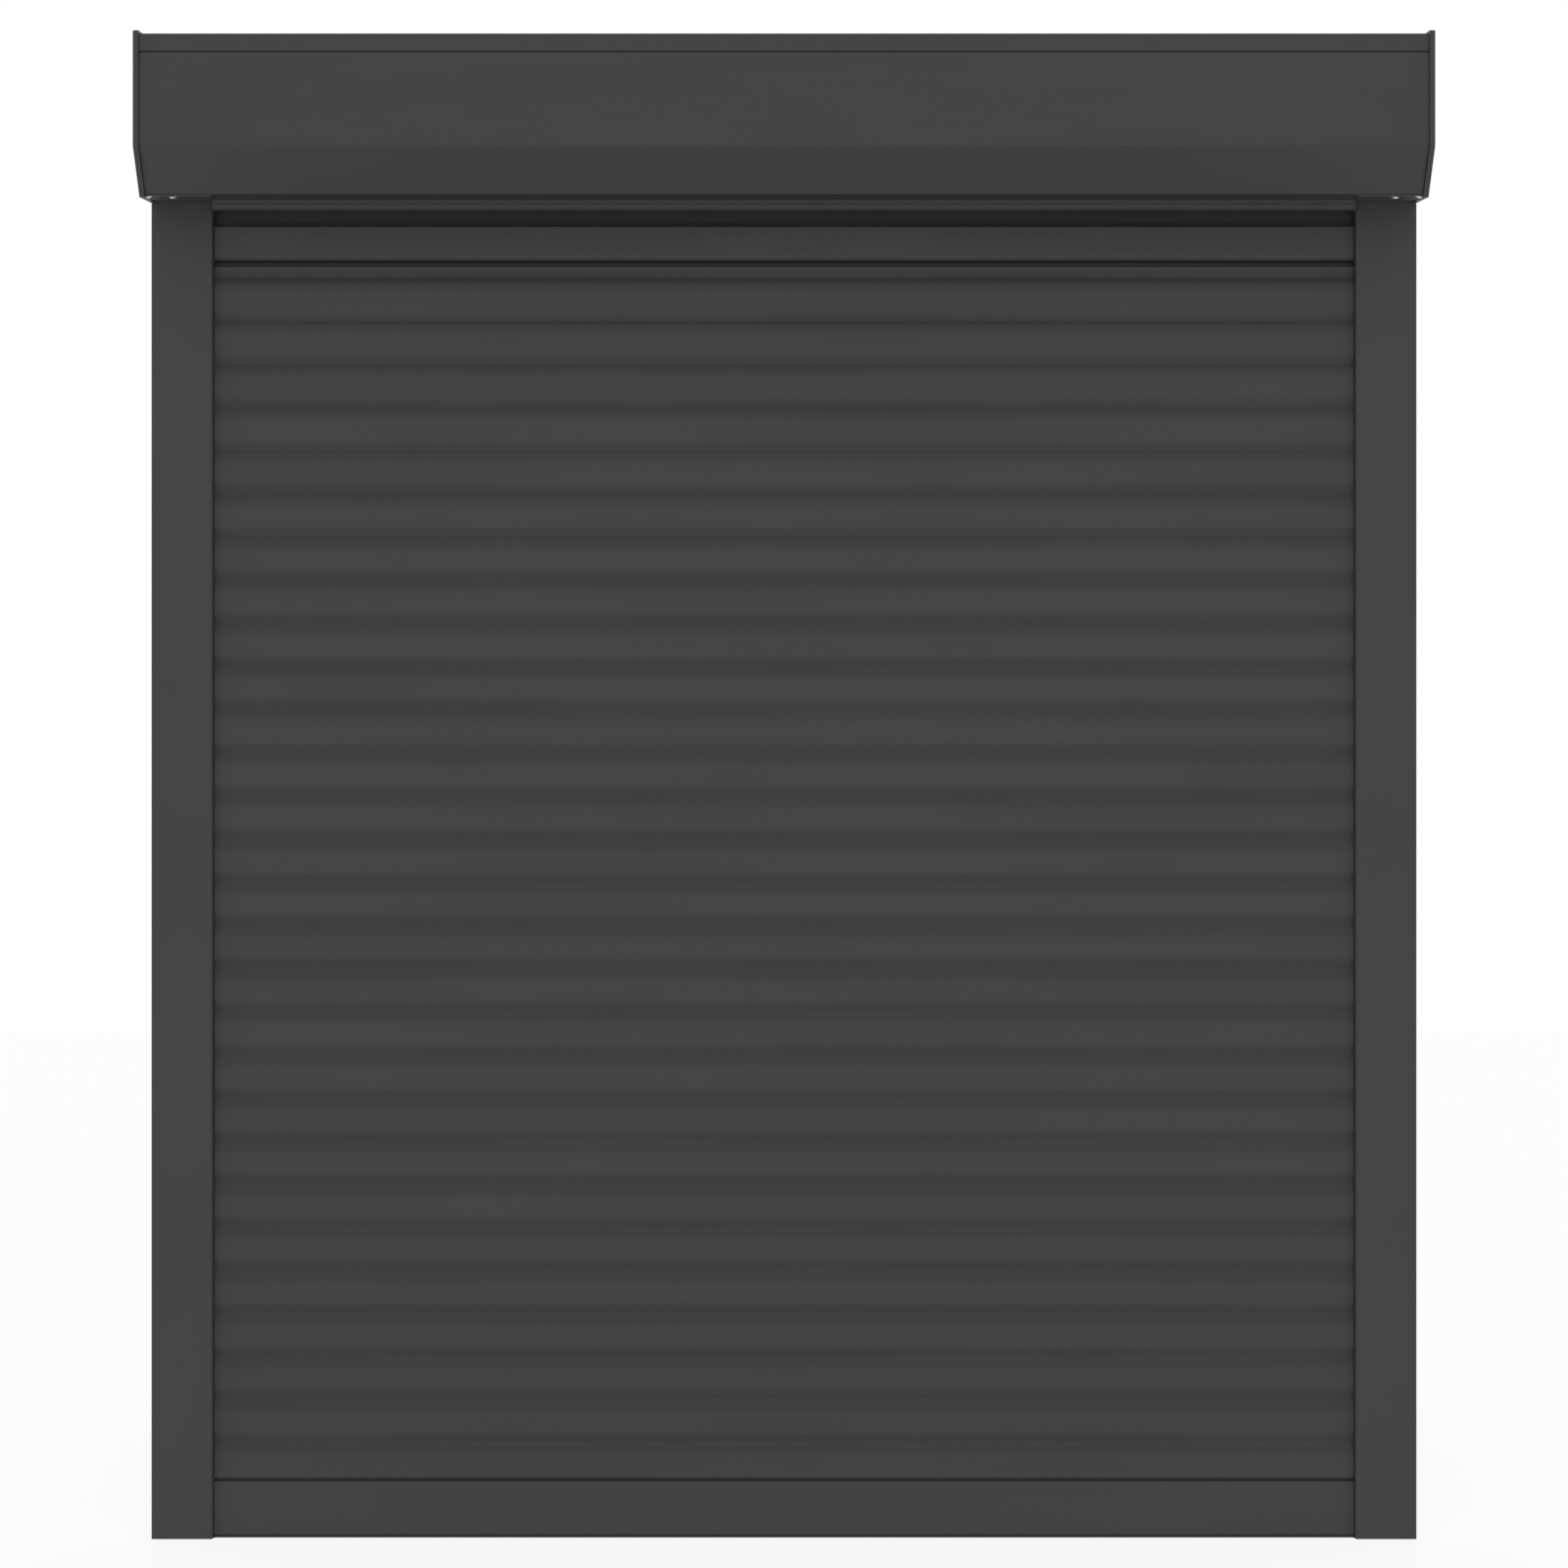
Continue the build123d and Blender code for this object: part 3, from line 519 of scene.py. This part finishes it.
def add_screws(finishes):
    """Screws with domed heads and cross recesses under both ends of the box."""
    low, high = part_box("panel_screws")
    form = bmesh.new()
    lathe(form, screw_profile(high.z - low.z), screw_steps)
    single = cut_cross(mesh_of(form, "single_screw"))
    outer = (high.x - head_radius, low.y + head_radius)
    inner = (outer[0] - screw_spacing, high.y - head_radius)
    whole = bmesh.new()
    for side in (-1, 1):
        for number, (x, y) in enumerate((outer, inner)):
            turn = outer_screw_turn + side * number * inner_screw_turn
            place = Matrix.Translation((side * x, y, low.z))
            copy = single.copy()
            copy.transform(place @ Matrix.Rotation(turn, 4, "Z"))
            whole.from_mesh(copy)
    mesh = mesh_of(whole, "panel_screws_domed")
    screws = piece("panel_screws_domed", mesh, finishes, slot="stainless", node="panel_screws")
    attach(screws, "box_and_rails")


def extruded(name, outline, x_from, x_to):
    """Mesh of a closed outline of (y, z) points, run along X."""
    form = bmesh.new()
    first, last = [[form.verts.new((x, y, z)) for y, z in outline] for x in (x_from, x_to)]
    skin(form, (first, last))
    form.faces.new(first)
    form.faces.new(last[::-1])
    return mesh_of(form, name)


def add_sill_seal(finishes):
    """Rubber seal under the end bar, with ribs along it and a foot in the bar's groove."""
    low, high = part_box("end_bar_seal")
    middle = (low.y + high.y) / 2
    half = (high.y - low.y) / 2
    outline = []
    for number in range(seal_rib_points):
        along = number / (seal_rib_points - 1)
        rise = seal_rib_height * math.sin(math.pi * seal_rib_count * along) ** 2
        outline.append((middle + half * (2 * along - 1), low.z + rise))
    head_z = low.z + seal_head_height
    foot_z = high.z - seal_foot_height
    upper = [
        (half, head_z),
        (seal_stem_half, head_z),
        (seal_stem_half, foot_z),
        (seal_foot_half, foot_z),
        (seal_foot_half, high.z),
    ]
    outline += [(middle + y, z) for y, z in upper]
    outline += [(middle - y, z) for y, z in reversed(upper)]
    mesh = extruded("sill_seal_ribbed", outline, low.x, high.x)
    seal = piece("sill_seal_ribbed", mesh, finishes, slot="black_rubber", node="end_bar_seal")
    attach(seal, "lower_bar")


def rounded(path, radius):
    """A path of (y, z) points with an arc at each inner corner."""
    smooth = [Vector(path[0])]
    for before, corner, after in zip(path, path[1:], path[2:]):
        corner = Vector(corner)
        back = (Vector(before) - corner).normalized()
        on = (Vector(after) - corner).normalized()
        half = back.angle(on) / 2
        run = radius / math.tan(half)
        centre = corner + (back + on).normalized() * radius / math.sin(half)
        first = corner + back * run - centre
        last = corner + on * run - centre
        sweep = first.angle_signed(last)
        for step in range(strap_arc_steps + 1):
            turn = -sweep * step / strap_arc_steps
            smooth.append(centre + Matrix.Rotation(turn, 2) @ first)
    smooth.append(Vector(path[-1]))
    return smooth


def strap_ring(form, place, along, x):
    """Adds the vertices round a strap at one place of its path, inner side first."""
    edge = strap_width / 2
    across = (-edge, -strap_rib_half, -strap_rib_half / 2, strap_rib_half / 2, strap_rib_half, edge)
    rises = (0, 0, strap_rib_rise, strap_rib_rise, 0, 0)
    out = Vector((-along.y, along.x))
    inner, outer = [
        [(x + offset, *(place + out * (lift - rise))) for offset, rise in zip(across, rises)]
        for lift in (0, strap_thickness)
    ]
    return [form.verts.new(spot) for spot in inner + outer[::-1]]


def strap_mesh(path, x):
    """Mesh of one strap: a bent strip with a pressed rib along its middle."""
    form = bmesh.new()
    rings = []
    for number, place in enumerate(path):
        behind = path[max(number - 1, 0)]
        ahead = path[min(number + 1, len(path) - 1)]
        rings.append(strap_ring(form, place, (ahead - behind).normalized(), x))
    skin(form, rings)
    for ring in (rings[0], rings[-1]):
        pairs = list(zip(ring, reversed(ring)))[: len(ring) // 2]
        for (inner, outer), (next_inner, next_outer) in zip(pairs, pairs[1:]):
            form.faces.new((inner, next_inner, next_outer, outer))
    return mesh_of(form, "strap")


def add_straps(finishes):
    """Spring-steel straps bent from the hanger's web up behind the tube."""
    low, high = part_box("hanger_straps")
    tube_low, tube_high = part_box("winding_tube")
    tube_face = tube_high.y + strap_gap
    shaft_z = (tube_low.z + tube_high.z) / 2
    web_face = high.y - strap_thickness
    corners = [
        (tube_face, high.z),
        (tube_face, shaft_z - strap_slack),
        (web_face, low.z + 2 * strap_grip),
        (web_face, low.z),
    ]
    path = rounded(corners, strap_bend)
    for number in range(strap_count):
        x = (number - (strap_count - 1) / 2) * strap_spacing
        name = f"hanger_strap_{number + 1}"
        strap = piece(name, strap_mesh(path, x), finishes, slot="spring_steel", node="hanger_straps")
        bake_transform(strap)


def add_key():
    """Soft lamp from in front and above."""
    data = bpy.data.lights.new("key", "AREA")
    data.shape = "RECTANGLE"
    data.size, data.size_y = key_size
    data.energy = key_power
    lamp = add_object("key", data)
    lamp.location = key_place
    aim = Vector(key_target) - Vector(key_place)
    lamp.rotation_euler = aim.to_track_quat("-Z", "Y").to_euler()


def direct_view(tree):
    """One where the camera, a mirror or clear glass sees the surface, and nought elsewhere."""
    path = tree.nodes.new("ShaderNodeLightPath")
    total = path.outputs["Is Camera Ray"]
    for name in ("Is Glossy Ray", "Is Transmission Ray"):
        either = tree.nodes.new("ShaderNodeMath")
        either.operation = "MAXIMUM"
        tree.links.new(total, either.inputs[0])
        tree.links.new(path.outputs[name], either.inputs[1])
        total = either.outputs["Value"]
    return total


def add_world():
    """White where it is seen, and a plain white light elsewhere."""
    world = bpy.data.worlds.new("studio")
    bpy.context.scene.world = world
    world.use_nodes = True
    tree = world.node_tree
    lit = tree.nodes["Background"]
    seen = tree.nodes.new("ShaderNodeBackground")
    for background, strength in ((lit, world_strength), (seen, white_strength)):
        background.inputs["Color"].default_value = white
        background.inputs["Strength"].default_value = strength
    mix = tree.nodes.new("ShaderNodeMixShader")
    tree.links.new(direct_view(tree), mix.inputs["Fac"])
    tree.links.new(lit.outputs["Background"], mix.inputs[1])
    tree.links.new(seen.outputs["Background"], mix.inputs[2])
    tree.links.new(mix.outputs["Shader"], tree.nodes["World Output"].inputs["Surface"])


def floor_material():
    """Pale floor that keeps the shadow, glows a little and reads as white paper."""
    material = bpy.data.materials.new("studio_floor")
    material.use_nodes = True
    tree = material.node_tree
    paper = tree.nodes["Principled BSDF"]
    paper.inputs["Base Color"].default_value = (floor_paper, floor_paper, floor_paper, 1.0)
    paper.inputs["Roughness"].default_value = floor_roughness
    glow = tree.nodes.new("ShaderNodeEmission")
    glow.inputs["Strength"].default_value = white_strength
    share = tree.nodes.new("ShaderNodeMapRange")
    share.inputs["To Min"].default_value = floor_glow_on_object
    share.inputs["To Max"].default_value = floor_glow_seen
    tree.links.new(direct_view(tree), share.inputs["Value"])
    mix = tree.nodes.new("ShaderNodeMixShader")
    tree.links.new(share.outputs["Result"], mix.inputs["Fac"])
    tree.links.new(paper.outputs["BSDF"], mix.inputs[1])
    tree.links.new(glow.outputs["Emission"], mix.inputs[2])
    tree.links.new(mix.outputs["Shader"], tree.nodes["Material Output"].inputs["Surface"])
    return material


def add_floor():
    """Flat floor at the foot of the object."""
    mesh = bpy.data.meshes.new("floor")
    corners = ((-1, -1), (1, -1), (1, 1), (-1, 1))
    mesh.from_pydata([(floor_reach * x, floor_reach * y, 0) for x, y in corners], [], [(0, 1, 2, 3)])
    mesh.materials.append(floor_material())
    add_object("floor", mesh)


def add_camera():
    """Camera square to the front, at the photograph's distance and height."""
    data = bpy.data.cameras.new("camera")
    data.sensor_width = sensor_width
    data.lens = camera_lens
    data.shift_y = camera_shift
    camera = add_object("camera", data)
    rail_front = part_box("guide_rail_left")[0].y
    camera.location = (0, rail_front - camera_distance, camera_height)
    camera.rotation_euler = (math.pi / 2, 0, 0)
    bpy.context.scene.camera = camera


add_camera()
bpy.context.scene.view_settings.view_transform = "Standard"
add_world()
add_floor()
add_key()
materials = slot_finishes()
dress_nodes(materials, node_finishes())
add_screws(materials)
add_sill_seal(materials)
add_straps(materials)
